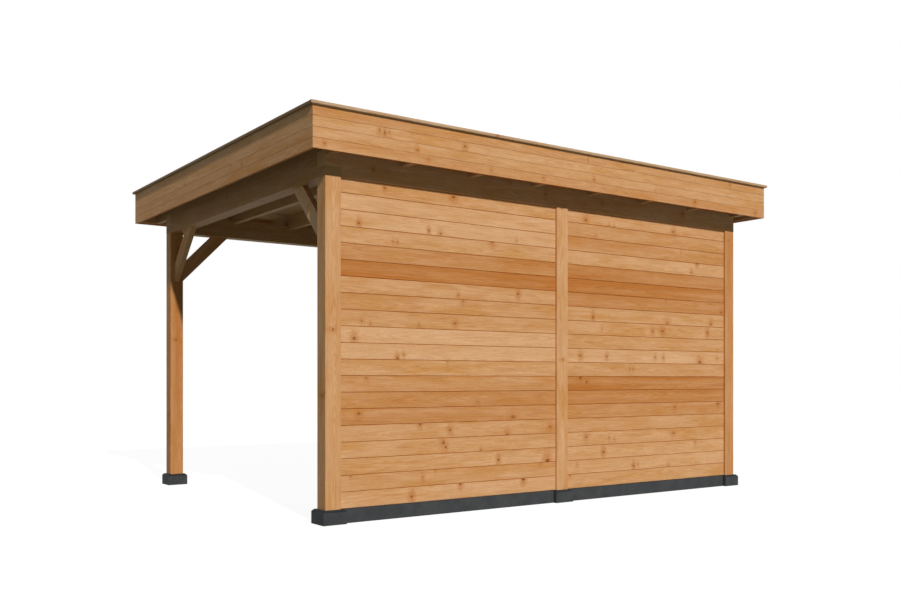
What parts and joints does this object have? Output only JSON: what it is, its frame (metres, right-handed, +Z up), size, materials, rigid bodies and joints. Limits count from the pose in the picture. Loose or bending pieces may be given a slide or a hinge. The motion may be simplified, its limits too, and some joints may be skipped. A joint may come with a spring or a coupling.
{
  "type": "carport",
  "caption": "Flat-roofed timber carport: posts on concrete blocks, ring beams with knee braces, notched rafters, plank fascia, a boarded back wall, open front and ends.",
  "frame": {"origin": "on the ground, under the middle of the roof's outline", "axes": "+X along the boarded back wall, to the right as seen from behind it; +Y from the back wall to the open front; +Z up"},
  "size_m": [4.732, 3.756, 2.802],
  "materials": {
    "post_timber": "planed softwood, warm orange brown, bare",
    "beam_timber": "planed softwood, warm orange brown, bare",
    "roof_timber": "planed softwood, warm brown, bare",
    "deck_boards": "tongued softwood boards, warm brown, bare",
    "wall_boards": "tongued softwood boards with a small V at each joint, warm orange brown",
    "fascia_boards": "narrow tongued softwood boards, warm orange brown",
    "cap_timber": "planed softwood, slightly darker brown",
    "membrane": "matt black rubber sheet",
    "concrete": "cast concrete, dark grey, matt"
  },
  "bodies": {
    "root": {"block_back_left": "concrete", "block_back_middle": "concrete", "block_back_right": "concrete", "block_front_left": "concrete", "block_front_right": "concrete", "plinth_left": "concrete", "plinth_right": "concrete", "post_back_left": "post_timber", "post_back_middle": "post_timber", "post_back_right": "post_timber", "post_front_left": "post_timber", "post_front_right": "post_timber", "beam_back": "beam_timber", "beam_front": "beam_timber", "beam_left": "beam_timber", "beam_right": "beam_timber", "brace_left_back": "beam_timber", "brace_left_front": "beam_timber", "brace_right_back": "beam_timber", "brace_right_front": "beam_timber", "brace_front_left": "beam_timber", "brace_front_right": "beam_timber", "wall_left": "wall_boards", "wall_right": "wall_boards", "rafter_1": "roof_timber", "rafter_2": "roof_timber", "rafter_3": "roof_timber", "rafter_4": "roof_timber", "rafter_5": "roof_timber", "rafter_6": "roof_timber", "rafter_7": "roof_timber", "rafter_8": "roof_timber", "rim_back": "roof_timber", "rim_front": "roof_timber", "rim_left": "roof_timber", "rim_right": "roof_timber", "roof_deck": "deck_boards", "roof_membrane": "membrane", "fascia_back": "fascia_boards", "fascia_front": "fascia_boards", "fascia_left": "fascia_boards", "fascia_right": "fascia_boards", "cap_back": "cap_timber", "cap_front": "cap_timber", "cap_left": "cap_timber", "cap_right": "cap_timber"}
  },
  "joints": []
}
